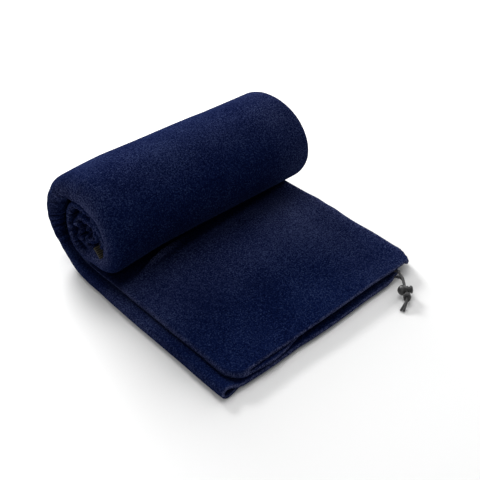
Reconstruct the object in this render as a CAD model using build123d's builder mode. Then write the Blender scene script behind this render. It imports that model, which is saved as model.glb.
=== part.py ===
"""Travel towel: a plush tube of cloth laid flat, folded in half along its length and part rolled up,
with an elastic drawcord in the hem of its mouth and a spring cord lock on the cord's two ends.

Row frame, in millimetres: +X along the roll, -Y from the roll towards the mouth, +Z up.
The origin is on the surface that the towel lies on, under the centre of the cloth.
The cloth lies four plies thick: ply 4 is at the bottom, ply 1 on top. Plies 3 and 4 meet in the
fold on the left that reaches furthest, plies 1 and 2 in the one above it. On the right the fold
of plies 1 and 4 wraps round the shorter fold of plies 2 and 3.
"""

import os
from math import cos, radians, sin, tan

from build123d import *

# ---- driving dimensions: the cloth -----------------------------------------------------------
HALF_WIDTH = 147.0  # half the width of the folded cloth
MOUTH_Y = -153.0  # front of the lower hem
BACK_Y = 153.0  # back of the roll
ROLL_FRONT_Y = 24.0  # front of the roll
TOTAL_HEIGHT = 126.0  # top of the roll
STACK = 17.0  # four plies with their air, which is the roll's pitch
TURNS = 2.75  # turns in the roll
AIR = 0.4  # between two pairs of plies, and between two turns
UPPER_INSET = 15.0  # the upper pair's left fold stops short of the lower pair's
SIDE_WALL = 2.8  # thickness of the outer fold on the right
HINGE_Y = 15.0  # line where the free end lifts
HINGE_SPLIT = 0.5
FOLD_ROUND = 3.0  # rounding along a folded edge
WALL_ROUND = 2.2  # rounding along the outer fold on the right

# ---- driving dimensions: hem, drawcord and cord lock -------------------------------------------
HEM_DEPTH = 20.0
UPPER_HEM_SETBACK = 2.5  # the upper hem's front lies behind the lower hem's
INNER_FOLD_X = 118.0  # right end of plies 2 and 3 in the hem
HEM_END_X = 134.0  # right end of ply 4's hem, where the outer fold's own hem begins
CORD_D = 2.6
TUNNEL_ROOM = 0.15  # radial room round the cord
TUNNEL_Y = -142.0
THREAD_D = 0.7
STITCH_LENGTH = 4.0
STITCH_PITCH = 5.6
LOCK_CENTRE = Vector(95.0, -173.8, 9.0)  # middle of the cord hole
CORD_DIRECTION = Vector(-0.66, -0.75, -0.12).normalized()  # of the straight stretch through the lock
PLUNGER_SIDE = Vector(0.75, -0.65, 0.10)  # roughly the way the plunger points
STRAND_OFFSET = 1.4  # of each strand from the middle of the hole

pair = STACK / 2 - AIR / 2
pair_2_base = pair + AIR
stack_top = pair_2_base + pair - AIR
ply = (pair - 0.1) / 2
wall_x = HALF_WIDTH - SIDE_WALL
upper_left_x = UPPER_INSET - HALF_WIDTH
cord_r = CORD_D / 2
tunnel_r = cord_r + TUNNEL_ROOM

# ---- the roll's spiral: each half axis shrinks by one stack a turn -------------------------------
SPIRAL_STEP = 18.0  # degrees between the points of a spiral curve
roll_z = (TOTAL_HEIGHT + STACK / 2) / 2
half_z = roll_z
half_y = (BACK_Y - ROLL_FRONT_Y + STACK) / 2
roll_y = BACK_Y + STACK / 4 - half_y


def on_spiral(turn, height):
    """The point (y, z) at a height above the stack's underside, after that many turns."""
    angle = radians(360 * turn - 90)
    shrink = STACK * turn + height
    return (roll_y + (half_y - shrink) * cos(angle), roll_z + (half_z - shrink) * sin(angle))


def spiral_tangent(turn):
    """The way the cloth runs there, as (y, z)."""
    y_0, z_0 = on_spiral(turn - 0.002, STACK / 2)
    y_1, z_1 = on_spiral(turn + 0.002, STACK / 2)
    return Vector(y_1 - y_0, z_1 - z_0).normalized()


def rolled_band(low, high, x_from, x_to):
    """One layer of the stack, from height low to high: flat from the hinge line, then wound up."""
    steps = round(360 * TURNS / SPIRAL_STEP)
    turns = [TURNS * i / steps for i in range(steps + 1)]
    flat_start = HINGE_Y + HINGE_SPLIT / 2
    with BuildPart() as band:
        with BuildSketch(Plane.YZ.offset(x_from)):
            with BuildLine():
                Line((flat_start, low), on_spiral(0, low))
                Spline([on_spiral(turn, low) for turn in turns])
                Line(on_spiral(TURNS, low), on_spiral(TURNS, high))
                Spline([on_spiral(turn, high) for turn in turns])
                Line(on_spiral(0, high), (flat_start, high))
                Line((flat_start, high), (flat_start, low))
            make_face()
        extrude(amount=x_to - x_from)
    return band.part


# ---- woven label, sewn between the two pairs at the roll's left end ------------------------------
LABEL_TURN = 1.82  # how far round the roll it lies
LABEL_LENGTH = 16.0  # along the roll
LABEL_WIDTH = 11.0
LABEL_THICKNESS = 1.2
LABEL_ROOM = 0.2
label_y, label_z = on_spiral(LABEL_TURN, pair + AIR / 2)
label_run = spiral_tangent(LABEL_TURN)
label_plane = Plane(
    origin=(LABEL_LENGTH / 2 + LABEL_ROOM - HALF_WIDTH, label_y, label_z),
    x_dir=(1, 0, 0),
    z_dir=(0, -label_run.Y, label_run.X),
)


def label_block(room):
    """The label's block, grown on every side by room."""
    with BuildPart() as block:
        with BuildSketch(label_plane.offset(-LABEL_THICKNESS / 2 - room)):
            Rectangle(LABEL_LENGTH + 2 * room, LABEL_WIDTH + 2 * room)
        extrude(amount=LABEL_THICKNESS + 2 * room)
    return block.part


# ---- the rolled length ---------------------------------------------------------------------------
with BuildPart() as lower_pair_rolled:
    add(rolled_band(0, pair, -HALF_WIDTH, wall_x - AIR))
    add(label_block(LABEL_ROOM), mode=Mode.SUBTRACT)
lower_pair_rolled.part.label = "lower_pair_rolled"

with BuildPart() as upper_pair_rolled:
    add(rolled_band(0, stack_top, upper_left_x, HALF_WIDTH))
    add(rolled_band(-AIR / 2, pair_2_base, upper_left_x - 1, wall_x), mode=Mode.SUBTRACT)
    add(label_block(LABEL_ROOM), mode=Mode.SUBTRACT)
upper_pair_rolled.part.label = "upper_pair_rolled"

with BuildPart() as woven_label:
    add(label_block(0))
    fillet(woven_label.edges().group_by(SortBy.LENGTH)[0], radius=0.5)
woven_label.part.label = "woven_label"

# ---- the free length, from the hinge line to the hem -----------------------------------------------
free_back_y = HINGE_Y - HINGE_SPLIT / 2
hem_back_y = MOUTH_Y + HEM_DEPTH
free_centre_y = (free_back_y + hem_back_y) / 2
free_length = free_back_y - hem_back_y

with BuildPart() as lower_pair_free:
    with BuildSketch(Plane((0, free_centre_y, 0))):
        with Locations(((wall_x - AIR - HALF_WIDTH) / 2, 0)):
            Rectangle(wall_x - AIR + HALF_WIDTH, free_length - AIR)
    extrude(amount=pair)
    left_edges = lower_pair_free.edges().filter_by(Axis.Y).group_by(Axis.X)[0]
    fillet(left_edges, radius=FOLD_ROUND)
lower_pair_free.part.label = "lower_pair_free"

with BuildPart() as upper_pair_free:
    with BuildSketch(Plane((0, free_centre_y, pair_2_base))):
        with Locations(((HALF_WIDTH + upper_left_x) / 2, 0)):
            Rectangle(HALF_WIDTH - upper_left_x, free_length - AIR)
    extrude(amount=stack_top - pair_2_base)
    with BuildSketch(Plane((0, free_centre_y, 0))):
        with Locations((HALF_WIDTH - SIDE_WALL / 2, 0)):
            Rectangle(SIDE_WALL, free_length - AIR)
    extrude(amount=stack_top)
    fold_edges = upper_pair_free.edges().filter_by(Axis.Y).group_by(Axis.X)
    fillet(fold_edges[0], radius=FOLD_ROUND)
    fillet(fold_edges[-1], radius=WALL_ROUND)
upper_pair_free.part.label = "upper_pair_free"

# ---- the drawcord's route ----------------------------------------------------------------------------
level_4 = ply / 2
level_3 = pair - ply / 2
level_2 = pair_2_base + ply / 2
level_1 = stack_top - ply / 2
hole_plane = Plane(origin=LOCK_CENTRE, x_dir=PLUNGER_SIDE, z_dir=CORD_DIRECTION)
across = hole_plane.x_dir
along = hole_plane.z_dir
beside = hole_plane.y_dir

STRAIGHT_FROM = -18.0  # the straight stretch, measured from the lock's centre along the cord
STRAIGHT_TO = 12.5
EXIT_LOW = Vector(109.5, MOUTH_Y, 6.6)
EXIT_HIGH = Vector(111.5, MOUTH_Y + UPPER_HEM_SETBACK, 11.2)


def on_strand(distance, side):
    """A point of the straight stretch: side -1 is the lower strand, +1 the upper one."""
    return LOCK_CENTRE + along * distance + beside * (side * STRAND_OFFSET)


strand_low_route = [
    EXIT_LOW,
    on_strand(STRAIGHT_FROM, -1),
    on_strand(STRAIGHT_TO, -1),
    Vector(79.1, -184.6, 3.2),
    Vector(72.0, -186.4, 1.5),
]
strand_high_route = [
    EXIT_HIGH,
    on_strand(STRAIGHT_FROM, 1),
    on_strand(STRAIGHT_TO, 1),
    Vector(79.9, -186.8, 5.4),
    Vector(73.0, -189.2, 1.5),
]


def bend_radii(route, share=0.45):
    """For each corner, an arc that takes up that share of the shorter run beside it."""
    radii = []
    for before, corner, after in zip(route, route[1:], route[2:]):
        turn = (corner - before).get_angle(after - corner)
        shorter = min((corner - before).length, (after - corner).length)
        radii.append(share * shorter / tan(radians(turn / 2)))
    return radii


def tube(route, radius, radii=None):
    """A round tube along straight runs joined by tangent arcs."""
    with BuildPart() as solid:
        with BuildLine() as path:
            FilletPolyline(*route, radius=radii or bend_radii(route))
        with BuildSketch(Plane(origin=route[0], z_dir=route[1] - route[0])):
            Circle(radius)
        sweep(path=path.wires()[0])
    return solid.part


# inside the hem: in at the lower hole, ply 3, ply 4, ply 1, ply 2, and out at the upper hole
HEM_RUN_LEFT = -139.0
UPPER_RUN_LEFT = -125.0
HEM_RUN_RIGHT = 141.0
inside_low = EXIT_LOW + (EXIT_LOW - strand_low_route[1]).normalized() * 5
corner_high_back = (EXIT_HIGH - strand_high_route[1]).normalized()
inside_high = EXIT_HIGH + corner_high_back * ((TUNNEL_Y - EXIT_HIGH.Y) / corner_high_back.Y)
hem_route = [
    EXIT_LOW,
    inside_low,
    Vector(inside_low.X + 1, TUNNEL_Y, level_3),
    Vector(HEM_RUN_LEFT, TUNNEL_Y, level_3),
    Vector(HEM_RUN_LEFT, TUNNEL_Y, level_4),
    Vector(HEM_RUN_RIGHT, TUNNEL_Y, level_4),
    Vector(HEM_RUN_RIGHT, TUNNEL_Y, level_1),
    Vector(UPPER_RUN_LEFT, TUNNEL_Y, level_1),
    Vector(UPPER_RUN_LEFT, TUNNEL_Y, inside_high.Z),
    inside_high,
    EXIT_HIGH,
]
half_turn_low = (level_3 - level_4) / 2 * 0.98
half_turn_right = (level_1 - level_4) / 2 * 0.98
half_turn_high = (level_1 - inside_high.Z) / 2 * 0.98
hem_radii = bend_radii(hem_route)
hem_radii[2:4] = [half_turn_low] * 2
hem_radii[4:6] = [half_turn_right] * 2
hem_radii[6:8] = [half_turn_high] * 2

drawcord_solid = tube(hem_route, cord_r, hem_radii)
tunnel_solid = tube(hem_route, tunnel_r, hem_radii)
drawcord_solid.label = "drawcord_in_hem"

KNOT_CORNER = 1
KNOT_TIGHTER = 0.65  # the bend inside the knot is a tighter one
strand_low_radii = bend_radii(strand_low_route)
strand_low_radii[KNOT_CORNER] *= KNOT_TIGHTER
strand_high_radii = bend_radii(strand_high_route)
strand_high_radii[KNOT_CORNER] *= KNOT_TIGHTER
for name, radii in (("low", strand_low_radii), ("high", strand_high_radii)):
    print("strand", name, "radii in cord diameters:", [round(r / CORD_D, 1) for r in radii])

strand_low = tube(strand_low_route, cord_r, strand_low_radii)
strand_low.label = "cord_strand_low"
strand_high = tube(strand_high_route, cord_r, strand_high_radii)
strand_high.label = "cord_strand_high"
way_out_low = tube(strand_low_route, tunnel_r, strand_low_radii)
way_out_high = tube(strand_high_route, tunnel_r, strand_high_radii)

# ---- hem casings -----------------------------------------------------------------------------------------
upper_hem_front = MOUTH_Y + UPPER_HEM_SETBACK
seam_y = hem_back_y - 1.6  # line of the hem's stitching
groove = THREAD_D + 0.3


def hem_layer(x_from, x_to, z_from, z_to, front_y):
    """A straight length of one hem, drawn in plan and raised."""
    with BuildPart() as layer:
        with BuildSketch(Plane.XY.offset(z_from)):
            with Locations(((x_from + x_to) / 2, (front_y + hem_back_y) / 2)):
                Rectangle(x_to - x_from, hem_back_y - front_y)
        extrude(amount=z_to - z_from)
    return layer.part


with BuildPart() as lower_hem:
    add(hem_layer(-HALF_WIDTH, HEM_END_X, 0, ply, MOUTH_Y))
    add(hem_layer(-HALF_WIDTH, INNER_FOLD_X, ply, pair, MOUTH_Y))
    fillet(lower_hem.edges().filter_by(Axis.X).group_by(Axis.Y)[0], radius=1.6)
    fillet(lower_hem.edges().filter_by(Axis.Y).group_by(Axis.X)[0], radius=2.0)
    add(tunnel_solid, mode=Mode.SUBTRACT)
    add(way_out_low, mode=Mode.SUBTRACT)
    add(way_out_high, mode=Mode.SUBTRACT)
lower_hem.part.label = "lower_hem"

with BuildPart() as upper_hem:
    add(hem_layer(upper_left_x, INNER_FOLD_X, pair_2_base, pair_2_base + ply, upper_hem_front))
    add(hem_layer(upper_left_x, HALF_WIDTH, pair_2_base + ply, stack_top, upper_hem_front))
    add(hem_layer(HEM_END_X + AIR, HALF_WIDTH, 0, pair_2_base + ply, upper_hem_front))
    fillet(upper_hem.edges().filter_by(Axis.X).group_by(Axis.Y)[0], radius=1.2)
    corner_edges = upper_hem.edges().filter_by(Axis.Y).group_by(Axis.X)
    fillet(corner_edges[0], radius=2.0)
    fillet(corner_edges[-1], radius=4.0)
    with BuildSketch(Plane.XY.offset(stack_top)):
        with Locations((0, seam_y)):
            Rectangle(4 * HALF_WIDTH, groove)
    extrude(amount=-groove / 2, mode=Mode.SUBTRACT)
    add(tunnel_solid, mode=Mode.SUBTRACT)
    add(way_out_low, mode=Mode.SUBTRACT)
    add(way_out_high, mode=Mode.SUBTRACT)
upper_hem.part.label = "upper_hem"

# ---- the hem's stitching: one row of threads along the seam --------------------------------------------------
stitch_span = HALF_WIDTH - 8 - (upper_left_x + 6)
stitch_count = int(stitch_span / STITCH_PITCH)
with BuildPart() as hem_stitches:
    with BuildSketch(Plane.XY.offset(stack_top - groove / 2 + 0.05)):
        with Locations(((HALF_WIDTH + upper_left_x) / 2, seam_y)):
            with GridLocations(STITCH_PITCH, 1, stitch_count, 1):
                SlotOverall(STITCH_LENGTH, THREAD_D)
    extrude(amount=0.4)
hem_stitches.part.label = "hem_stitches"


def buttonhole(exit_point, next_point):
    """A ring of thread round the hole that a strand leaves by."""
    way_out = (next_point - exit_point).normalized()
    centre = exit_point + way_out * (THREAD_D / 2 + 0.45)
    return Plane(origin=centre, z_dir=way_out) * Torus(tunnel_r + THREAD_D / 2 + 0.1, THREAD_D / 2)


ring_low = buttonhole(strand_low_route[0], strand_low_route[1])
ring_high = buttonhole(strand_high_route[0], strand_high_route[1])
with BuildPart() as buttonhole_stitches:
    add(ring_low)
    add(ring_high)
buttonhole_stitches.part.label = "buttonhole_stitches"

# ---- the knot: two turns of cord round both strands -------------------------------------------------------------
KNOT_AT = 8.2  # first turn, along the cord from the lock's centre
KNOT_ROOM = 0.15
SECOND_ROOM = 0.5  # the second turn goes round the bend of the strands


def knot_ring(plane, room):
    """A turn of cord round both strands, which lie side by side along the plane's x direction."""
    wide = 2 * (STRAND_OFFSET + cord_r + room)
    narrow = 2 * (cord_r + room)
    with BuildPart() as ring:
        with BuildSketch(plane):
            SlotOverall(wide + 2 * CORD_D, narrow + 2 * CORD_D)
            SlotOverall(wide, narrow, mode=Mode.SUBTRACT)
        extrude(amount=cord_r, both=True)
        fillet(ring.edges(), radius=cord_r * 0.8)
    return ring.part


low_tail_way = (strand_low_route[3] - strand_low_route[2]).normalized()
high_tail_way = (strand_high_route[3] - strand_high_route[2]).normalized()
tail_way = (low_tail_way + high_tail_way).normalized()
second_way = (along + tail_way).normalized()
second_centre = LOCK_CENTRE + along * STRAIGHT_TO + (tail_way - along) * 0.5
first_ring = knot_ring(
    Plane(origin=LOCK_CENTRE + along * KNOT_AT, x_dir=beside, z_dir=along), KNOT_ROOM)
second_ring = knot_ring(
    Plane(origin=second_centre, x_dir=second_way.cross(beside).cross(second_way), z_dir=second_way),
    SECOND_ROOM)
with BuildPart() as cord_knot:
    add(first_ring)
    add(second_ring)
cord_knot.part.label = "cord_knot"

# ---- cord lock: its own axis runs through the plunger -------------------------------------------------------------
BALL_R = 5.7
BALL_AT = -2.75  # centre of the ball, from the cord hole along the lock's axis
NECK_R = 4.3
NECK_TOP = 3.2
BORE_R = 3.6
BORE_FLOOR = -6.7
HOLE_ACROSS = 3.0
HOLE_BESIDE = 5.8
STEM_R = 3.4
STEM_FOOT = -4.2
HEAD_BASE = 5.2
HEAD_TOP = 7.6
HEAD_R = 4.3
SPRING_R = 2.1  # to the middle of the wire
SPRING_WIRE = 0.5
SPRING_COILS = 3.5
SPRING_SEAT_R = 2.7
SPRING_SEAT = -2.4
STEM_HOLE_FROM = -1.4
STEM_HOLE_TO = 3.2

lock_plane = Plane(origin=LOCK_CENTRE, x_dir=along, z_dir=across)  # z along the axis, x along the cord


def hole_box(from_height, to_height, width):
    """The cord hole's block, right through along the cord."""
    with BuildPart() as block:
        with BuildSketch(lock_plane.offset(from_height)):
            Rectangle(8 * BALL_R, width)
        extrude(amount=to_height - from_height)
    return block.part


with BuildPart() as cord_lock_body:
    with BuildSketch(Plane(origin=LOCK_CENTRE, x_dir=across, z_dir=beside)):
        with BuildLine():
            ball_start = (BALL_AT - BALL_R, 0)
            ball_end = (BALL_AT + (BALL_R**2 - NECK_R**2) ** 0.5, NECK_R)
            RadiusArc(ball_start, ball_end, BALL_R)
            Line(ball_end, (NECK_TOP, NECK_R))
            Line((NECK_TOP, NECK_R), (NECK_TOP, BORE_R))
            Line((NECK_TOP, BORE_R), (BORE_FLOOR, BORE_R))
            Line((BORE_FLOOR, BORE_R), (BORE_FLOOR, 0))
            Line((BORE_FLOOR, 0), ball_start)
        make_face()
    revolve(axis=Axis(LOCK_CENTRE, across))
    rim = cord_lock_body.edges().filter_by(GeomType.CIRCLE).sort_by(Axis(LOCK_CENTRE, across))[-2:]
    fillet(rim, radius=0.3)
    add(hole_box(-HOLE_ACROSS / 2, HOLE_ACROSS / 2, HOLE_BESIDE), mode=Mode.SUBTRACT)
cord_lock_body.part.label = "cord_lock_body"

with BuildPart() as cord_lock_plunger:
    with BuildSketch(lock_plane.offset(STEM_FOOT)):
        Circle(STEM_R)
    extrude(amount=HEAD_BASE - STEM_FOOT)
    with BuildSketch(lock_plane.offset(HEAD_BASE)):
        Circle(HEAD_R)
    extrude(amount=HEAD_TOP - HEAD_BASE)
    top = cord_lock_plunger.edges().filter_by(GeomType.CIRCLE).sort_by(Axis(LOCK_CENTRE, across))[-1]
    fillet(top, radius=1.4)
    with BuildSketch(lock_plane.offset(STEM_FOOT)):
        Circle(SPRING_SEAT_R)
    extrude(amount=SPRING_SEAT - STEM_FOOT, mode=Mode.SUBTRACT)
    add(hole_box(STEM_HOLE_FROM, STEM_HOLE_TO, HOLE_BESIDE - 0.1), mode=Mode.SUBTRACT)
cord_lock_plunger.part.label = "cord_lock_plunger"

spring_gap = SPRING_WIRE / 2 + 0.02
spring_height = SPRING_SEAT - BORE_FLOOR - 2 * spring_gap
with BuildPart() as cord_lock_spring:
    with BuildLine() as coil:
        Helix(
            pitch=spring_height / SPRING_COILS,
            height=spring_height,
            radius=SPRING_R,
            center=LOCK_CENTRE + across * (BORE_FLOOR + spring_gap),
            direction=across,
        )
    with BuildSketch(Plane(origin=coil.wire() @ 0, z_dir=coil.wire() % 0)):
        Circle(SPRING_WIRE / 2)
    sweep(path=coil.wire())
cord_lock_spring.part.label = "cord_lock_spring"

# ---- export ------------------------------------------------------------------------------------------------------------
os.makedirs("parts", exist_ok=True)
built = [lower_pair_rolled, upper_pair_rolled, woven_label, lower_pair_free, upper_pair_free]
built += [lower_hem, upper_hem, hem_stitches, buttonhole_stitches, cord_knot]
built += [cord_lock_body, cord_lock_plunger, cord_lock_spring]
solids = [piece.part for piece in built] + [drawcord_solid, strand_low, strand_high]
for solid in solids:
    export_step(solid, "parts/" + solid.label + ".step")
    print(solid.label, round(solid.volume, 1))
print("plunger axis", across, "cord axis", along, "beside", beside)
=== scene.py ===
"""Plush travel towel, part rolled up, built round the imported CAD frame.

Lengths are in metres, except where the cloth is shaped, which is in millimetres.
"""

from math import cos, pi, sin

import bmesh
import bpy
import numpy as np
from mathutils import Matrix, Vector, noise


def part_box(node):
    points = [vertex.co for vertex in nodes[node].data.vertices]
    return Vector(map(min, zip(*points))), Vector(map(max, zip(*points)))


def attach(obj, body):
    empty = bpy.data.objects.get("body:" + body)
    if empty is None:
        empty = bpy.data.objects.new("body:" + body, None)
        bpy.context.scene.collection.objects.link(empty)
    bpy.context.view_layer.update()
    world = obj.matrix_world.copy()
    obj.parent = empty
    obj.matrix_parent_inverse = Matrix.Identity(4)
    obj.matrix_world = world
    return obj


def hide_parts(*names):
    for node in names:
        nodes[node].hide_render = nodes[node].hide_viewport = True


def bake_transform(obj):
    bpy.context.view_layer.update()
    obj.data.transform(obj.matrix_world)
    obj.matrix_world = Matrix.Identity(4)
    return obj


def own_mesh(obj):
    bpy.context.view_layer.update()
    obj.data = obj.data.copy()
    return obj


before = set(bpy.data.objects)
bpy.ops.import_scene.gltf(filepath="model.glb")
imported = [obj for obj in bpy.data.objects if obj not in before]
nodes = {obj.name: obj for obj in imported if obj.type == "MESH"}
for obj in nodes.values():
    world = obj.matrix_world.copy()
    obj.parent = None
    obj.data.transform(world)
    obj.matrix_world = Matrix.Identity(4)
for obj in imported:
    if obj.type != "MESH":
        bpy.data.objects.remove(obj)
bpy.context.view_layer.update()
MM = 0.001
scene = bpy.context.scene


# ---- camera, light and floor ---------------------------------------------------------------
CAMERA_PLACE = Vector((-0.4633, -0.5192, 0.5550))
CAMERA_TARGET = Vector((0.0329, 0.0198, 0.0))
LENS = 58.51
LIGHT_TARGET = Vector((0, 0, 0.05))
FLOOR_GREY = 0.77
SURROUND_LIGHT = 0.34


def make_camera():
    data = bpy.data.cameras.new("camera")
    data.lens = LENS
    data.sensor_width = 36
    data.dof.use_dof = False
    camera = bpy.data.objects.new("camera", data)
    camera.location = CAMERA_PLACE
    camera.rotation_euler = (CAMERA_TARGET - CAMERA_PLACE).to_track_quat("-Z", "Y").to_euler()
    scene.collection.objects.link(camera)
    scene.camera = camera


def area_light(name, place, size, power):
    data = bpy.data.lights.new(name, "AREA")
    data.shape = "DISK"
    data.size = size
    data.energy = power
    light = bpy.data.objects.new(name, data)
    light.location = place
    light.rotation_euler = (LIGHT_TARGET - light.location).to_track_quat("-Z", "Y").to_euler()
    scene.collection.objects.link(light)


def make_stage():
    material = bpy.data.materials.new("floor")
    material.use_nodes = True
    shader = material.node_tree.nodes["Principled BSDF"]
    shader.inputs["Base Color"].default_value = (FLOOR_GREY, FLOOR_GREY, FLOOR_GREY, 1)
    shader.inputs["Roughness"].default_value = 0.9
    bpy.ops.mesh.primitive_plane_add(size=12, location=(0, 0, 0))
    floor = bpy.context.object
    floor.name = "floor"
    floor.data.materials.append(material)
    world = bpy.data.worlds.new("studio")
    scene.world = world
    world.use_nodes = True
    background = world.node_tree.nodes["Background"]
    background.inputs["Color"].default_value = (1, 1, 1, 1)
    background.inputs["Strength"].default_value = SURROUND_LIGHT
    area_light("above", (0.10, 0.30, 1.30), size=0.8, power=7)
    area_light("behind", (0.33, 1.60, 0.85), size=0.8, power=52)  # casts the soft shadow in front
    area_light("fill", (-1.3, -0.4, 1.0), size=1.2, power=5)
    area_light("side", (1.30, 0.10, 0.80), size=1.4, power=9)


make_camera()
make_stage()
scene.view_settings.view_transform = "Standard"


# ---- material building blocks ----------------------------------------------------------------
class Graph:
    """A material with short calls for the nodes that the surfaces here need."""

    def __init__(self, name):
        self.material = bpy.data.materials.new(name)
        self.material.use_nodes = True
        self.tree = self.material.node_tree
        self.shader = self.tree.nodes["Principled BSDF"]
        self.place = self.tree.nodes.new("ShaderNodeTexCoord").outputs["Object"]

    def add(self, kind, **settings):
        node = self.tree.nodes.new(kind)
        for key, value in settings.items():
            setattr(node, key, value)
        return node

    def link(self, a, b):
        self.tree.links.new(a, b)

    def noise(self, scale, detail, roughness):
        node = self.add("ShaderNodeTexNoise")
        node.inputs["Scale"].default_value = scale
        node.inputs["Detail"].default_value = detail
        node.inputs["Roughness"].default_value = roughness
        self.link(self.place, node.inputs["Vector"])
        return node.outputs["Fac"]

    def ramp(self, value, stops):
        node = self.add("ShaderNodeValToRGB")
        elements = node.color_ramp.elements
        while len(elements) < len(stops):
            elements.new(0.5)
        for element, (position, colour) in zip(elements, stops):
            element.position = position
            element.color = (*colour, 1)
        self.link(value, node.inputs["Fac"])
        return node.outputs["Color"]

    def mix(self, factor, a, b):
        node = self.add("ShaderNodeMix", data_type="RGBA")
        self.link(factor, node.inputs["Factor"])
        self.link(a, node.inputs["A"])
        self.link(b, node.inputs["B"])
        return node.outputs["Result"]

    def math(self, operation, a, b):
        node = self.add("ShaderNodeMath", operation=operation)
        for socket, value in zip(node.inputs, (a, b)):
            if isinstance(value, (int, float)):
                socket.default_value = value
            else:
                self.link(value, socket)
        return node.outputs["Value"]

    def bump(self, height, distance, strength, normal=None):
        node = self.add("ShaderNodeBump")
        node.inputs["Distance"].default_value = distance
        node.inputs["Strength"].default_value = strength
        self.link(height, node.inputs["Height"])
        if normal is not None:
            self.link(normal, node.inputs["Normal"])
        return node.outputs["Normal"]

    def set(self, **values):
        """Set the shader's own sockets, with _ for a space in their names."""
        for key, value in values.items():
            self.shader.inputs[key.replace("_", " ")].default_value = value


def plush_material(name, deep, mid, light, painted_highlight):
    """Short velour pile: fine lighter fibre tips over a deep base, brushed patches, and sheen.
    The mesh's attribute for painted highlights shows more of the tips, its attribute for painted shade
    only a darkened base."""
    g = Graph(name)
    tips = g.noise(1000, 1.0, 0.6)
    clumps = g.noise(560, 2.0, 0.7)
    brushed = g.noise(16, 3.0, 0.55)
    mixed = g.math("ADD", g.math("MULTIPLY", tips, 0.5), g.math("MULTIPLY", clumps, 0.5))
    tone = g.math("ADD", g.math("MULTIPLY", mixed, 0.85), g.math("MULTIPLY", brushed, 0.15))
    colour = g.ramp(tone, [(0.43, deep), (0.52, mid), (0.61, light)])
    # painted highlight: the lighter tip colour shown where light catches the cloth
    brighter = g.ramp(tone, [(0.44, mid), (0.60, painted_highlight)])
    edge = g.add("ShaderNodeAttribute", attribute_name="painted_highlight").outputs["Fac"]
    # painted shade: in the pleats' creases and under the roll's front the colour turns to a darkened
    # base
    painted_shade = g.add("ShaderNodeAttribute", attribute_name="painted_shade").outputs["Fac"]
    dark = g.ramp(tone, [(0.4, tuple(0.2 * c for c in deep)), (0.6, deep)])
    g.link(g.mix(painted_shade, g.mix(edge, colour, brighter), dark), g.shader.inputs["Base Color"])
    fine = g.bump(tips, 0.0004, 0.5)
    pile = g.bump(clumps, 0.0007, 0.5, fine)
    g.link(pile, g.shader.inputs["Normal"])
    g.set(Roughness=0.95, Sheen_Weight=0.04, Sheen_Roughness=0.3, Sheen_Tint=(0.25, 0.35, 0.9, 1),
          Specular_IOR_Level=0.0)
    return g.material


def cord_material():
    g = Graph("braided_cord")
    fibres = g.noise(2600, 2.0, 0.6)
    g.link(g.ramp(fibres, [(0.3, (0.007, 0.007, 0.008)), (0.7, (0.030, 0.030, 0.032))]),
           g.shader.inputs["Base Color"])
    g.link(g.bump(fibres, 0.0002, 0.6), g.shader.inputs["Normal"])
    g.set(Roughness=0.75, Sheen_Weight=0.2)
    return g.material


def plastic_material():
    g = Graph("moulded_plastic")
    grain = g.noise(3200, 2.0, 0.5)
    marks = g.noise(90, 3.0, 0.6)
    g.link(g.ramp(marks, [(0.3, (0.014, 0.014, 0.015)), (0.7, (0.022, 0.022, 0.024))]),
           g.shader.inputs["Base Color"])
    g.link(g.bump(grain, 0.00006, 0.5), g.shader.inputs["Normal"])
    g.link(g.math("ADD", g.math("MULTIPLY", marks, 0.15), 0.32), g.shader.inputs["Roughness"])
    return g.material


def steel_material():
    g = Graph("spring_wire")
    drawn = g.noise(900, 3.0, 0.6)
    g.link(g.ramp(drawn, [(0.3, (0.45, 0.45, 0.46)), (0.7, (0.65, 0.65, 0.66))]),
           g.shader.inputs["Base Color"])
    g.set(Metallic=1.0, Roughness=0.3)
    return g.material


def thread_material():
    g = Graph("sewing_thread")
    ply = g.noise(2200, 2.0, 0.5)
    g.link(g.ramp(ply, [(0.3, (0.002, 0.004, 0.018)), (0.7, (0.006, 0.010, 0.036))]),
           g.shader.inputs["Base Color"])
    g.set(Roughness=0.6)
    return g.material


RIB_PITCH = 0.0022  # of the woven tape
TAPE_ACROSS = Vector((0, 0.753, 0.658))  # along its width


def tape_material():
    g = Graph("woven_tape")
    weave = g.noise(1300, 3.0, 0.6)
    apart = g.add("ShaderNodeSeparateXYZ")
    g.link(g.place, apart.inputs["Vector"])
    width = g.math("ADD", g.math("MULTIPLY", apart.outputs["Y"], TAPE_ACROSS.y),
                   g.math("MULTIPLY", apart.outputs["Z"], TAPE_ACROSS.z))
    # painted shade: darker colour stripes at the rib pitch stand for the shade between the tape's ribs,
    # over its own woven tone
    rib = g.math("SINE", g.math("MULTIPLY", width, 2 * pi / RIB_PITCH), 0)
    ribs = g.math("MULTIPLY", g.math("ADD", rib, 1.0), 0.25)
    tone = g.math("ADD", g.math("MULTIPLY", weave, 0.5), ribs)
    g.link(g.ramp(tone, [(0.25, (0.004, 0.0035, 0.002)), (0.75, (0.030, 0.026, 0.018))]),
           g.shader.inputs["Base Color"])
    g.link(g.bump(weave, 0.0002, 0.7), g.shader.inputs["Normal"])
    g.set(Roughness=0.85, Sheen_Weight=0.08, Specular_IOR_Level=0.15)
    return g.material


# the fourth colour is that of the painted highlights
plush = plush_material("plush_cloth", deep=(0.0011, 0.0027, 0.0165), mid=(0.0024, 0.0059, 0.034),
                       light=(0.0150, 0.0250, 0.068), painted_highlight=(0.100, 0.112, 0.210))
cord_finish = cord_material()
plastic_finish = plastic_material()
steel_finish = steel_material()
thread_finish = thread_material()
tape_finish = tape_material()


def paint(node, material):
    """Give a CAD node a better material."""
    data = nodes[node].data
    data.materials.clear()
    data.materials.append(material)


for node in ("cord_lock_body", "cord_lock_plunger"):
    paint(node, plastic_finish)
paint("buttonhole_stitches", thread_finish)


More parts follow.
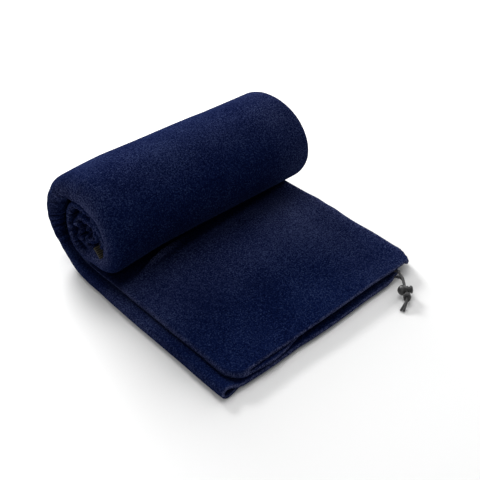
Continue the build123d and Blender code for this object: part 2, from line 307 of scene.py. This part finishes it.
# ---- the drawcord's free strands -------------------------------------------------------------
CORD_D = 0.0026  # the cord's diameter
LOCK_CENTRE = Vector((0.0950, -0.1738, 0.0090))
ALONG = Vector((-0.66, -0.75, -0.12)).normalized()
ACROSS = Vector((0.75, -0.65, 0.10))
ACROSS = (ACROSS - ALONG * ACROSS.dot(ALONG)).normalized()
BESIDE = ALONG.cross(ACROSS)
STRAND_OFFSET = 0.0014  # of each strand from the lock's middle line


def on_strand(distance, side):
    """A point on one of the strands, at a distance along it from the lock's centre."""
    return LOCK_CENTRE + ALONG * distance + BESIDE * (side * STRAND_OFFSET)


strand_low_route = [
    Vector((0.1095, -0.1530, 0.0066)),
    on_strand(-0.0180, -1),
    on_strand(-0.0100, -1),
    on_strand(0.0060, -1),
    on_strand(0.0125, -1),
    Vector((0.0791, -0.1846, 0.0032)),
    Vector((0.0720, -0.1864, 0.0015)),
]
strand_high_route = [
    Vector((0.1115, -0.1505, 0.0112)),
    on_strand(-0.0180, 1),
    on_strand(-0.0100, 1),
    on_strand(0.0060, 1),
    on_strand(0.0125, 1),
    Vector((0.0799, -0.1868, 0.0054)),
    Vector((0.0730, -0.1892, 0.0015)),
]


def spline_points(name, route):
    """Points read from the smooth line that has the route as its control points."""
    data = bpy.data.curves.new(name + "_line", "CURVE")
    data.dimensions = "3D"
    data.resolution_u = 24
    spline = data.splines.new("NURBS")
    spline.points.add(len(route) - 1)
    for point, place in zip(spline.points, route):
        point.co = (*place, 1)
    spline.order_u = 3
    spline.use_endpoint_u = True
    line = bpy.data.objects.new(name + "_line", data)
    scene.collection.objects.link(line)
    bpy.context.view_layer.update()
    mesh = bpy.data.meshes.new_from_object(line)
    points = [v.co.copy() for v in mesh.vertices]
    bpy.data.objects.remove(line)
    bpy.data.meshes.remove(mesh)
    return points


def resample(points, step):
    """The same line with evenly spaced points."""
    places = np.array(points)
    run = np.concatenate([[0], np.cumsum(np.linalg.norm(np.diff(places, axis=0), axis=1))])
    count = max(2, int(round(run[-1] / step)) + 1)
    even = np.linspace(0, run[-1], count)
    return np.stack([np.interp(even, run, places[:, k]) for k in range(3)], 1), run[-1]


def side_vectors(line):
    """A direction across the line at each point, carried along without twist."""
    way = np.gradient(line, axis=0)
    way /= np.linalg.norm(way, axis=1)[:, None]
    side = np.cross(way[0], (0.3, 0.2, 1.0))
    sides = []
    for w in way:
        side = side - w * side.dot(w)
        side /= np.linalg.norm(side)
        sides.append(side)
    return way, np.array(sides)


def new_object(name, vertices, faces, material):
    mesh = bpy.data.meshes.new(name)
    mesh.from_pydata([tuple(v) for v in vertices], [], faces)
    mesh.validate()
    mesh.update()
    mesh.polygons.foreach_set("use_smooth", [True] * len(mesh.polygons))
    mesh.materials.append(material)
    made = bpy.data.objects.new(name, mesh)
    scene.collection.objects.link(made)
    return made


def braided_tube(name, line, radius, material, around=24, relief=0.055):
    """A round cord with a braid's diamond relief, and rounded ends."""
    way, side = side_vectors(line)
    up = np.cross(way, side)
    step = np.linalg.norm(line[1] - line[0])
    vertices = []
    for i, place in enumerate(line):
        to_end = min(i, len(line) - 1 - i) * step
        cap = min(1.0, (1 - (1 - min(to_end / radius, 1)) ** 2) ** 0.5 + 0.02)
        for k in range(around):
            angle = 2 * pi * k / around
            phase = i * step / radius * 1.6
            swell = 1 + relief * sin(4 * angle + 2 * phase) * sin(4 * angle - 2 * phase)
            out = side[i] * cos(angle) + up[i] * sin(angle)
            vertices.append(place + out * (radius * swell * cap))
    rings = len(line)
    faces = []
    for i in range(rings - 1):
        for k in range(around):
            a, b = i * around + k, i * around + (k + 1) % around
            faces.append((a, b, b + around, a + around))
    faces.append(tuple(reversed(range(around))))
    faces.append(tuple((rings - 1) * around + k for k in range(around)))
    return new_object(name, vertices, faces, material)


def make_strand(name, node, route):
    """One free strand of the drawcord, from its hole in the hem to its cut end."""
    line, length = resample(spline_points(name, route), step=0.00035)
    strand = braided_tube(name, line, CORD_D / 2, cord_finish)
    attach(strand, "free_end")
    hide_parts(node)


def make_knot():
    """Two wraps of the cord round both strands, crossing over each other."""
    centre = LOCK_CENTRE + ALONG * 0.0098
    wraps, uneven = 2.1, 0.0004
    points = []
    for t in np.linspace(0, 1, 150):
        angle = 2 * pi * wraps * t
        wide = 0.0043 + uneven * sin(3 * angle)
        narrow = 0.0030 + uneven * cos(2 * angle)
        lift = 0.0019 * sin(angle * 0.5 + 0.4) + 0.0006 * sin(2 * angle)
        points.append(centre + BESIDE * (wide * cos(angle)) + ACROSS * (narrow * sin(angle))
                      + ALONG * lift)
    line, _ = resample(points, step=0.0004)
    knot = braided_tube("knot", line, CORD_D / 2 * 1.04, cord_finish)
    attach(knot, "free_end")
    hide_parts("cord_knot")
    return knot


knot = make_knot()
make_strand("strand_low", "cord_strand_low", strand_low_route)
make_strand("strand_high", "cord_strand_high", strand_high_route)


# ---- the cord lock's spring --------------------------------------------------------------------
def make_spring():
    """Three and a half coils between the bore's floor and the button's stem."""
    foot, height, radius, wire = -0.00640, 0.00370, 0.0021, 0.00024
    coils = 3.5
    points = []
    for t in np.linspace(0, 1, 200):
        angle = 2 * pi * coils * t
        points.append(LOCK_CENTRE + ACROSS * (foot + height * t)
                      + (ALONG * cos(angle) + BESIDE * sin(angle)) * radius)
    line, _ = resample(points, step=0.0002)
    spring = braided_tube("spring_coils", line, wire, steel_finish, around=10, relief=0.0)
    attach(spring, "cord_lock")
    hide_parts("cord_lock_spring")
    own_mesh(spring)


make_spring()


# ---- the cloth: one plush tube, folded flat and wound up ---------------------------------------
# Lengths here are in millimetres, and MM turns the finished points into metres. In the functions
# below, s is the distance along the cloth from its mouth, n the number of turns of the roll wound so
# far (0 on the flat), and ply runs from 1 on top to 4 underneath, with fractions round the folds.
roll_low, roll_high = (Vector(v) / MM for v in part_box("lower_pair_rolled"))
hem_low = Vector(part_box("lower_hem")[0]) / MM
HALF_WIDTH = -roll_low.x
MOUTH_Y = hem_low.y
STACK = 17.0  # four plies with their air, on the flat and in the outer turn
ROLL_FRONT_Y = 24.0
WALL = 3.5  # thickness of the plush cloth
PLY_4, PLY_3, PLY_2, PLY_1 = 2.0, 6.2, 10.9, 14.9  # heights of the plies' middle lines
CORNER_ROUND = 20.0  # the upper fold's corner at the mouth
CLOSED_FOLD_R = 6.6  # of the outer fold, on the right
INNER_FOLD_R = 2.3  # and of the fold inside it
INNER_FOLD_END = 136.0  # how far to the right the inner fold reaches
CASING_MIDDLE = 11.0  # from the hem's edge to the drawcord
SEAM = 19.0  # and to the stitching
RIDGE_FROM, RIDGE_TO = 180.0, 214.0  # finer rows for a small fold pushed up in front of the roll
ROW_STEP, RIDGE_STEP = 3.4, 1.3  # between rows on the flat, and on that fold
FINE_STEP, COARSE_STEP = 1.1, 2.6  # between rows in the roll, where its pleats show and where they don't
PLEAT_PITCH, CREASE_PITCH = 8.1, 4.7  # along the roll's left end
THREAD = 0.7
STITCH_LENGTH = 4.0
STITCH_PITCH = 5.6
TURNS = 3.0
CORE_RADIUS = 14.0  # of the last turn, at the cloth's inner end
FLOOR_GAP = 0.02  # the cloth's outside stays this far above the floor
BUNDLE_Y, BUNDLE_Z = 77.0, 64.0  # middle of the inner turns
BUNDLE_RADIUS = 41.5  # where the inner turns begin
BUNDLE_STACK = 14.0  # they are wound tighter than the outer turn
half_y = (roll_high.y - ROLL_FRONT_Y + STACK) / 2
half_z = (roll_high.z + STACK / 2) / 2
roll_y = roll_high.y + STACK / 4 - half_y
roll_z = half_z
ROLL_START = roll_y - MOUTH_Y  # where the flat stack begins to turn up


def smooth_step(value, low, high):
    """0 below low, 1 above high, and smooth between them."""
    t = np.clip((value - low) / (high - low), 0, 1)
    return t * t * (3 - 2 * t)


def window(value, rise_from, rise_to, fall_from, fall_to):
    """0, up to 1, and back to 0."""
    return smooth_step(value, rise_from, rise_to) * (1 - smooth_step(value, fall_from, fall_to))


def bell(value, centre, width):
    """1 at the centre, falling smoothly to 0 on both sides."""
    return np.exp(-(((value - centre) / width) ** 2))


def soft_noise(x, y, z):
    """Smooth noise from -1 to 1 at each point of two arrays."""
    flat = [noise.noise((a, b, z)) for a, b in zip(np.ravel(x), np.ravel(y))]
    return np.array(flat).reshape(np.shape(x))


def tightness(n):
    """How much the stack is pressed thinner in the inner turns."""
    return 1 - (1 - BUNDLE_STACK / STACK) * smooth_step(n, 1.0, 1.4)


def stations():
    """Distances along the cloth from the mouth, and the turn reached at each."""
    hem = [0, 0.25, 0.7, 1.4, 2.4, 4, 6, 8.5, 11, 14, 17, 18.5, 19.5, 20.5, 22, 25]
    along = hem + list(np.arange(28, RIDGE_FROM, ROW_STEP))
    along += list(np.arange(RIDGE_FROM, RIDGE_TO, RIDGE_STEP))
    along += list(np.arange(RIDGE_TO, ROLL_START, ROW_STEP))
    turn = [0.0] * len(along)
    reach, n = ROLL_START, 0.0
    while n < TURNS:
        along.append(reach)
        turn.append(n)
        radius = (half_y + half_z) / 2 - STACK * n if n < 1 else BUNDLE_RADIUS - BUNDLE_STACK * (n - 1)
        step = FINE_STEP if n < 0.52 or n > 1.2 else COARSE_STEP
        n += step / (2 * pi * radius)
        reach += step
    for last in (2.4, 3.3, 3.8, 4.0):
        along.append(reach + last)
        turn.append(n + last / (2 * pi * CORE_RADIUS))
    return np.array(along), np.array(turn)


def arc(count, start, end):
    """Angles between two ends, without the ends."""
    return np.linspace(start, end, count + 2)[1:-1]


def columns(x_from, x_to):
    """Places across a ply: close together near its ends, wider apart between them."""
    low, high = min(x_from, x_to), max(x_from, x_to)
    dense_to, dense_from = low + 34, high - 16
    places = np.concatenate([np.linspace(low, dense_to, 15), np.linspace(dense_to, dense_from, 32)[1:-1],
                             np.linspace(dense_from, high, 8)])
    return places if x_from < x_to else places[::-1]


def outer_rim(n):
    """1 along the outer turn's fat soft rim, in the roll's left end."""
    return window(n, 0.10, 0.26, 0.94, 1.08)


def tape_gap(n):
    """How far both pairs draw back from the woven tape."""
    return 5.0 * bell(n, 1.87, 0.09)


def lower_fold(s, n, turned, messy):
    """The lower pair's fold, on the left: its x, its half height, and the x where it lies flat."""
    top = window(n, 0.36, 0.45, 0.56, 0.68)
    puff = 4.4 + 1.0 * (1 - smooth_step(s, 0, 25)) - 0.9 * turned + 7.8 * outer_rim(n) + 5.0 * top
    puff += 2.2 * window(n, 1.55, 1.65, 1.85, 1.95)
    puff += 0.7 * noise.noise((s * 0.05, 7.7, 0)) * (turned + 2 * messy)
    recess = 8.5 * turned - 4.0 * bell(n, 0.2, 0.14) + 2.0 * messy + tape_gap(n)
    recess += (0.8 * turned + 4.5 * messy) * noise.noise((s * 0.10, 1.3, 0))
    x = -HALF_WIDTH + 0.8 + 1.5 * bell(s, ROLL_START - 30, 30) + WALL / 2 + recess + puff
    return x, puff, x + 12 + 1.3 * puff


def upper_fold(s, n, turned, messy):
    """The same for the upper pair's fold, which lies above it and further in."""
    half = 2.25 + 1.2 * window(n, 1.02, 1.12, 2.0, 2.3)
    corner = CORNER_ROUND - (CORNER_ROUND ** 2 - max(CORNER_ROUND - s, 0) ** 2) ** 0.5
    inset = 15 + 1.5 * noise.noise((s * 0.012, 3.1, 0)) + corner
    inset += 20 * outer_rim(n) + 5 * smooth_step(n, 1.0, 1.2) + tape_gap(n)
    inset += (1.0 * turned + 3.0 * messy) * noise.noise((s * 0.09, 5.9, 0))
    x = -HALF_WIDTH + inset + WALL / 2 + 1.3 * half
    return x, half, x + 12 + 1.6 * half


def closed_fold(s, n):
    """The x of the closed outer fold, on the right."""
    end = HALF_WIDTH + 3.7 * smooth_step(s, 90, 170) + 1.3 * smooth_step(n, 0.02, 0.3)
    end += 2.0 * bell(n, 0.74, 0.12) - 2.5 * bell(n, 0.46, 0.1)
    end -= 6.0 * smooth_step(n, 0.95, 1.3) + 5.0 * (1 - smooth_step(s, 0, 16)) ** 2
    end -= 2.5 * (1 - smooth_step(s, 10, 80))
    return end - WALL / 2 - CLOSED_FOLD_R


def gathered(s, n, xs, hs, tags, low_tip, up_tip):
    """The section with small pleats near both folds, on the inner side of each turn, and its creases."""
    smooth = window(n, 0.42, 0.50, 0.94, 1.08)  # without pleats at the roll's top and front
    valley = (0.5 + 0.5 * cos(2 * pi * s / PLEAT_PITCH + 4.0 * noise.noise((s * 0.045, 0.4, 0)))) ** 1.6
    crease = (0.5 + 0.5 * cos(2 * pi * s / CREASE_PITCH + 3.0 * noise.noise((s * 0.06, 2.4, 0)))) ** 2.5
    depth = 3.5 + 2.5 * noise.noise((s * 0.07, 9.4, 0))
    depth *= smooth_step(n, 0.06, 0.16) * (1 - 0.85 * smooth)
    upper = np.clip(3 - tags, 0, 1)
    inward = np.clip(xs - np.where(upper > 0, up_tip, low_tip), 0, None)
    inner_side = np.where(upper > 0, upper, np.clip((3.62 - tags) / 0.3, 0, 1))
    hs = hs - inner_side * depth * valley * np.exp(-inward / 26)
    xs = xs + inner_side * 0.8 * depth * valley * np.exp(-inward / 9)
    # the creases cut grooves in the outside and also give painted shade in them
    return xs, hs, inner_side * min(depth / 3.0, 1.0) * crease * np.exp(-inward / 20)


def section(s, n):
    """The tube's middle line at one station, from ply 4 round to ply 3: x, height, ply and creases."""
    turned = smooth_step(s, ROLL_START - 25, ROLL_START + 60)
    messy = smooth_step(n, 1.45, 1.7)  # the innermost turns are ragged
    low_x, puff, low_tuck = lower_fold(s, n, turned, messy)
    up_x, up_r, up_tuck = upper_fold(s, n, turned, messy)
    right_x = closed_fold(s, n)
    inner_x = INNER_FOLD_END - 18 * (1 - smooth_step(s, 0, 70)) - INNER_FOLD_R
    xs, hs, tags = [], [], []

    def extend(x, h, tag):
        xs.extend(x)
        hs.extend(h)
        tags.extend(tag if np.ndim(tag) else [tag] * len(x))

    def low_rise(x):
        return (2 * puff + PLY_4 - PLY_3) * (1 - smooth_step(x, low_x - 2, low_tuck))

    def up_rise(x):
        return (2 * up_r + PLY_2 - PLY_1) * (1 - smooth_step(x, up_x - 1, up_tuck))

    x = columns(low_x, right_x)
    extend(x, np.full(len(x), PLY_4), 4.0)
    a = arc(13, -pi / 2, pi / 2)
    middle, reach = (PLY_4 + PLY_1) / 2, (PLY_1 - PLY_4) / 2
    extend(right_x + CLOSED_FOLD_R * np.cos(a), middle + reach * np.sin(a), 4 - 3 * (a / pi + 0.5))
    x = columns(right_x, up_x)
    extend(x, PLY_1 + low_rise(x) + up_rise(x), 1.0)
    a = arc(9, pi / 2, 3 * pi / 2)
    bottom = PLY_2 + low_rise(up_x)
    extend(up_x + 1.3 * up_r * np.cos(a), bottom + up_r + up_r * np.sin(a), 1 + (a / pi - 0.5))
    x = columns(up_x, inner_x)
    extend(x, PLY_2 + low_rise(x), 2.0)
    a = arc(9, pi / 2, -pi / 2)
    middle, reach = (PLY_2 + PLY_3) / 2, (PLY_2 - PLY_3) / 2
    extend(inner_x + INNER_FOLD_R * np.cos(a), middle + reach * np.sin(a), 2 + (0.5 - a / pi))
    x = columns(inner_x, low_x)
    extend(x, PLY_3 + low_rise(x), 3.0)
    a = arc(15, pi / 2, 3 * pi / 2)
    extend(low_x + puff * np.cos(a), PLY_4 + puff + puff * np.sin(a), 3 + (a / pi - 0.5))

    tags = np.array(tags)
    xs, hs, creases = gathered(s, n, np.array(xs), np.array(hs), tags, low_x - puff, up_x - 1.3 * up_r)
    return xs, hs, tags, creases


def wound(s, n, height, x):
    """The point (y, z) at a distance along the cloth, on the flat or in the roll."""
    angle = np.radians(360 * n - 90)
    # the roll's left end sags at its lower front, and its top sinks a little
    fade = 1 - smooth_step(x, -HALF_WIDTH + 15, -HALF_WIDTH + 95)
    square = 1 - 0.26 * bell(n, 0.89, 0.10) * fade
    cosine = np.sign(np.cos(angle)) * np.abs(np.cos(angle)) ** square
    sine = np.sign(np.sin(angle)) * np.abs(np.sin(angle)) ** square
    sag = 4.5 * bell(n, 0.43, 0.13) * (1 - smooth_step(x, -HALF_WIDTH, -HALF_WIDTH + 75))
    shrink = STACK * n + height + sag
    outer_y = roll_y + (half_y - shrink) * cosine
    outer_z = roll_z + (half_z - shrink) * sine
    radius = BUNDLE_RADIUS - BUNDLE_STACK * (n - 1) - height * tightness(n)
    inner = smooth_step(n, 0.88, 1.22)
    rolled_y = outer_y + inner * (BUNDLE_Y + radius * np.cos(angle) - outer_y)
    rolled_z = outer_z + inner * (BUNDLE_Z + radius * np.sin(angle) - outer_z)
    on_flat = n <= 0
    return np.where(on_flat, MOUTH_Y + s, rolled_y), np.where(on_flat, height, rolled_z)


def hem_line(x, ply):
    """How far each ply's hem lies back from the lower hem's front, along its edge."""
    back = np.interp(ply, [1, 2, 3, 4], [3.5, 2.0, 0.0, 4.0])
    # ply 2 comes out in a wave on the left, and lies far back on the right
    second = np.clip(1 - np.abs(ply - 2), 0, 1)
    back = back - second * 3.0 * window(x, -114, -86, -84, -20)
    back = back + second * 14.0 * smooth_step(x, -85, 25)
    # the lower pair's front face closes at the left corner
    back = back + (1 - smooth_step(x, -140, -118)) * np.interp(ply, [2, 3, 4], [0, 1.5, -3.5])
    # the lower pair ends further back on the right, by the buttonholes, and is nearly straight
    lower = np.clip(ply - 2.0, 0, 1)
    back = back + lower * 4.0 * smooth_step(x, 92, 119)
    back = back - lower * 1.2 * window(x, -50, -25, 30, 60)
    back = back - lower * 1.2 * bell(x, -86, 30) - 0.8 * bell(x, 10, 45)
    # the right corner is rounded
    back = back + 5 * smooth_step(x, HALF_WIDTH - 24, HALF_WIDTH - 3) ** 2
    return back + 0.7 * soft_noise(x * 0.02, ply, 5.0)


def ridge(x, s, n, ply):
    """A small fold pushed up on the flat, in front of the roll."""
    crest = 34.0 + 0.27 * (x + 90) - MOUTH_Y
    return bell(s, crest, 2.3) * bell(x, -66, 30) * np.clip(3 - ply, 0, 1) * (n <= 0)


def cloth_grid():
    """The cloth's middle surface, with s, n, ply and creases at each of its points."""
    along, turn = stations()
    rows = [section(s, n) for s, n in zip(along, turn)]
    x, h, ply, creases = (np.array(part) for part in zip(*rows))
    s = np.repeat(along[:, None], x.shape[1], 1)
    n = np.repeat(turn[:, None], x.shape[1], 1)
    s_placed = s + (1 - smooth_step(s, 0, 50)) * hem_line(x, ply)
    # plies 3 and 4 meet in one face at the front
    front = 1 - smooth_step(s, 6, 24)
    h = h + front * np.interp(ply, [2, 3, 4], [0, -1.0, 0.0])
    # the right corner of the mouth lifts off the floor
    lift = smooth_step(x, 93, 130) * (1 - smooth_step(s, 8, 80))
    h = h + lift * np.interp(ply, [1, 2, 3, 4], [0.8, 0.8, 3.0, 8.6])
    # the upper pair stands a little open in front
    h = h + 1.6 * window(x, -40, 20, 70, 120) * np.clip(3 - ply, 0, 1) * (1 - smooth_step(s, 10, 60))
    # two low humps on the closed fold, near the roll
    humps = 1.0 * bell(MOUTH_Y + s, 4, 12) + 0.6 * bell(MOUTH_Y + s, -26, 11)
    h = h + humps * smooth_step(x, 95, 140) * np.clip(3 - ply, 0, 1)
    # soft unevenness of the plush, less where it lies on the floor, more in the inner turns
    loose = np.interp(ply, [1, 2, 3, 4], [1.0, 0.7, 0.5, 0.15]) + 0.5 * (n > 0)
    messy = smooth_step(n, 1.4, 1.8) * (1 - smooth_step(x, -HALF_WIDTH + 20, -HALF_WIDTH + 60))
    h = h + loose * 0.9 * soft_noise(x * 0.016, s * 0.014, 1.0)
    h = h + loose * 0.35 * soft_noise(x * 0.05, s * 0.05, 2.0)
    h = h + messy * 1.5 * soft_noise(x * 0.06, s * 0.11, 4.0)
    x = x + 1.0 * soft_noise(s * 0.02, ply * 0.7, 8.0)
    h = h + 9.0 * ridge(x, s, n, ply)
    y, z = wound(s_placed, n, h, x)
    return np.stack([x, y, z], 2), s, n, ply, creases


def grid_normals(grid):
    """Normals that point out of the tube. The grid closes on itself from column to column."""
    round_way = np.roll(grid, -1, 1) - np.roll(grid, 1, 1)
    long_way = np.gradient(grid, axis=0)
    normal = np.cross(round_way, long_way)
    return normal / np.maximum(np.linalg.norm(normal, axis=2), 1e-9)[:, :, None]


def wall_thickness(x, s, n, ply):
    """Thicker in the hem, with a groove along its seam, and thinner where it is wound tight."""
    hem = 1 - smooth_step(s, 17.5, 21)
    lower_front = np.clip(1 - np.abs(ply - 3), 0, 1)
    lower_front = lower_front * smooth_step(x, -134, -112)
    wall = WALL + hem * (0.4 + 1.8 * lower_front * (1 - smooth_step(s, 4, 18)))
    wall = wall - 0.5 * bell(s, SEAM, 1.3)
    return wall * tightness(n)


def painted_highlight_amount(x, s, n, ply):
    """Painted highlight: how much lighter tip colour is painted where light catches the pile: most along
    the hem's edge, some along folds, on the roll's top and right part, on the flat's far and right
    parts, and on the small fold's crest.
    """
    hem = 0.6 * bell(s, 0.4, 0.8)
    left_folds = 0.35 * bell(ply, 1.45, 0.22)
    left_folds += 0.3 * bell(ply, 3.4, 0.22) * (0.4 + smooth_step(n, 0.1, 0.5))
    flat = 0.13 * window(s, 60, 150, ROLL_START - 52, ROLL_START - 28)
    flat += 0.09 * smooth_step(x, 20, 120) * (n <= 0)
    rolled = 0.10 * window(n, 0.3, 0.42, 0.52, 0.68) + 0.12 * (n > 0) * smooth_step(x, 60, 150)
    right_fold = 0.30 * smooth_step(x, HALF_WIDTH - 20, HALF_WIDTH + 3) * (ply < 2)
    return np.clip(hem + left_folds + flat + rolled + right_fold + 0.35 * ridge(x, s, n, ply), 0, 1)


def painted_shade_under_roll(x, y, s, n, ply):
    """Painted shade on the flat in the dark gap under the roll's front, except on the small fold."""
    under = smooth_step(y - 0.09 * (x + 90), 26, 36) * (n <= 0) * (ply < 1.5)
    return 0.85 * under * (1 - ridge(x, s, n, ply))


def make_cloth(grid, s, n, ply, creases):
    """The closed mesh: an outside and an inside surface round the grid, joined at both ends."""
    x, y = grid[:, :, 0], grid[:, :, 1]
    normal = grid_normals(grid)
    edge = np.minimum(s, s.max() - s)
    rounding = np.sqrt(np.clip(1 - (1 - np.clip(edge / 2.0, 0, 1)) ** 2, 0, 1))
    half = wall_thickness(x, s, n, ply) / 2 * rounding
    outside = grid + normal * (half - 1.5 * creases)[:, :, None]
    inside = grid - normal * half[:, :, None]
    outside[:, :, 2] = np.maximum(outside[:, :, 2], FLOOR_GAP)
    inside[:, :, 2] = np.maximum(inside[:, :, 2], 2 * FLOOR_GAP)
    rows, count = s.shape
    vertices = np.concatenate([outside.reshape(-1, 3), inside.reshape(-1, 3)]) * MM
    index = np.arange(rows * count).reshape(rows, count)
    a = index[:-1]
    b = np.roll(index, -1, 1)[:-1]
    c = np.roll(index, -1, 1)[1:]
    d = index[1:]
    outer = np.stack([a, b, c, d], 2).reshape(-1, 4)
    inner = np.stack([a, d, c, b], 2).reshape(-1, 4) + rows * count
    cloth = new_object("towel_cloth", vertices, np.concatenate([outer, inner]).tolist(), plush)
    # painted shade: the pleats' creases and the flat under the roll's front are darkened in colour
    dark = np.maximum(creases, painted_shade_under_roll(x, y, s, n, ply))
    # attributes for the painted highlights and the painted shade
    for name, values in (("painted_highlight", painted_highlight_amount(x, s, n, ply)), ("painted_shade", dark)):
        attribute = cloth.data.attributes.new(name, "FLOAT", "POINT")
        attribute.data.foreach_set("value", np.tile(values.ravel(), 2))
    shape = bmesh.new()
    shape.from_mesh(cloth.data)
    bmesh.ops.remove_doubles(shape, verts=shape.verts, dist=1e-6)
    shape.to_mesh(cloth.data)
    shape.free()
    return cloth


grid, along_cloth, turn, ply, creases = cloth_grid()
cloth = make_cloth(grid, along_cloth, turn, ply, creases)
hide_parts("lower_pair_rolled", "upper_pair_rolled", "lower_pair_free", "upper_pair_free",
            "lower_hem", "upper_hem")
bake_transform(cloth)


# ---- what the hem holds: the drawcord's hidden run, and the stitching along the seam --------------
def make_hidden_run():
    """The cord inside the casings: in by the lower hole, once round the tube, out by the upper one."""
    row = int(np.argmin(np.abs(along_cloth[:, 0] - CASING_MIDDLE)))
    ring, tag = grid[row] * MM, ply[row]
    exit_low, exit_high = strand_low_route[0], strand_high_route[0]
    bend = 0.010  # from the holes to where the cord lies along the hem
    third = np.flatnonzero((tag == 3.0) & (ring[:, 0] < exit_low.x - bend))
    second = np.flatnonzero((tag == 2.0) & (ring[:, 0] < exit_high.x - bend))
    route = np.concatenate([[exit_low], ring[third[0]:], ring[:second[-1] + 1], [exit_high]])
    line, _ = resample(spline_points("hidden_run", [Vector(place) for place in route]), step=0.0008)
    run = braided_tube("hidden_run", line, CORD_D / 2, cord_finish)
    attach(run, "free_end")
    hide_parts("drawcord_in_hem")


def make_stitches():
    """Short threads in the groove along the upper hem's seam."""
    row = int(np.argmin(np.abs(along_cloth[:, 0] - SEAM)))
    top = np.flatnonzero(ply[row] == 1.0)[::-1]
    places, ups = grid[row, top], grid_normals(grid)[row, top]
    half = wall_thickness(grid[:, :, 0], along_cloth, turn, ply)[row, top] / 2
    seam = places + ups * (half - THREAD / 2)[:, None]
    rings, around = 9, 8
    vertices, faces = [], []
    for start in np.arange(seam[0, 0] + 4, seam[-1, 0] - 6, STITCH_PITCH):
        base = len(vertices)
        x = np.linspace(start, start + STITCH_LENGTH, rings)
        y, z = (np.interp(x, seam[:, 0], seam[:, k]) for k in (1, 2))
        for i in range(rings):
            size = THREAD / 2 * sin(pi * (i + 0.35) / (rings - 0.3)) ** 0.5
            dip = 0.35 * abs(2 * i / (rings - 1) - 1) ** 3  # both ends go down into the cloth
            for k in range(around):
                angle = 2 * pi * k / around
                place = (x[i], y[i] + size * cos(angle), z[i] - dip + size * sin(angle))
                vertices.append(tuple(value * MM for value in place))
        for i in range(rings - 1):
            for k in range(around):
                a, b = base + i * around + k, base + i * around + (k + 1) % around
                faces.append((a, b, b + around, a + around))
        faces.append(tuple(base + k for k in reversed(range(around))))
        faces.append(tuple(base + (rings - 1) * around + k for k in range(around)))
    stitches = new_object("hem_seam", vertices, faces, thread_finish)
    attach(stitches, "free_end")
    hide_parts("hem_stitches")


make_hidden_run()
make_stitches()


# ---- the woven label in the roll's left end ------------------------------------------------------
def make_label():
    """A short length of ribbed tape, doubled over, whose fold stands out of the roll."""
    width, thick, straight, fold_r = 0.0135, 0.0011, 0.007, 0.0016
    centre = Vector((-0.1385, 0.0515, 0.0535))
    out = Vector((-1, 0, 0))
    normal = TAPE_ACROSS.cross(out)
    profile = []
    for t in np.linspace(0, 1, 25):
        if t < 0.3:
            profile.append((-straight * (0.3 - t) / 0.3, -fold_r))
        elif t > 0.7:
            profile.append((-straight * (t - 0.7) / 0.3, fold_r))
        else:
            angle = pi * (t - 0.3) / 0.4 - pi / 2
            profile.append((fold_r * cos(angle), fold_r * sin(angle)))
    ribs = 60
    vertices, faces = [], []
    for side in (1, -1):
        for i, (o, h) in enumerate(profile):
            p, q = profile[max(i - 1, 0)], profile[min(i + 1, len(profile) - 1)]
            tangent = Vector((q[0] - p[0], q[1] - p[1])).normalized()
            for k in range(ribs + 1):
                f = k / ribs - 0.5
                rib = 0.0003 * sin(2 * pi * f * width / RIB_PITCH)
                shift = side * thick / 2 + rib
                vertices.append(centre + TAPE_ACROSS * (f * width) + out * (o + tangent.y * shift)
                                + normal * (h - tangent.x * shift))
    count = len(profile)

    def at(side, i, k):
        return side * count * (ribs + 1) + i * (ribs + 1) + k

    for i in range(count - 1):
        for k in range(ribs):
            faces.append((at(0, i, k), at(0, i + 1, k), at(0, i + 1, k + 1), at(0, i, k + 1)))
            faces.append((at(1, i, k), at(1, i, k + 1), at(1, i + 1, k + 1), at(1, i + 1, k)))
        for k in (0, ribs):
            quad = (at(0, i, k), at(1, i, k), at(1, i + 1, k), at(0, i + 1, k))
            faces.append(quad if k == 0 else quad[::-1])
    for i in (0, count - 1):
        for k in range(ribs):
            quad = (at(0, i, k), at(0, i, k + 1), at(1, i, k + 1), at(1, i, k))
            faces.append(quad if i == 0 else quad[::-1])
    label = new_object("label_tape", vertices, faces, tape_finish)
    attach(label, "rolled_end")
    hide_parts("woven_label")


make_label()
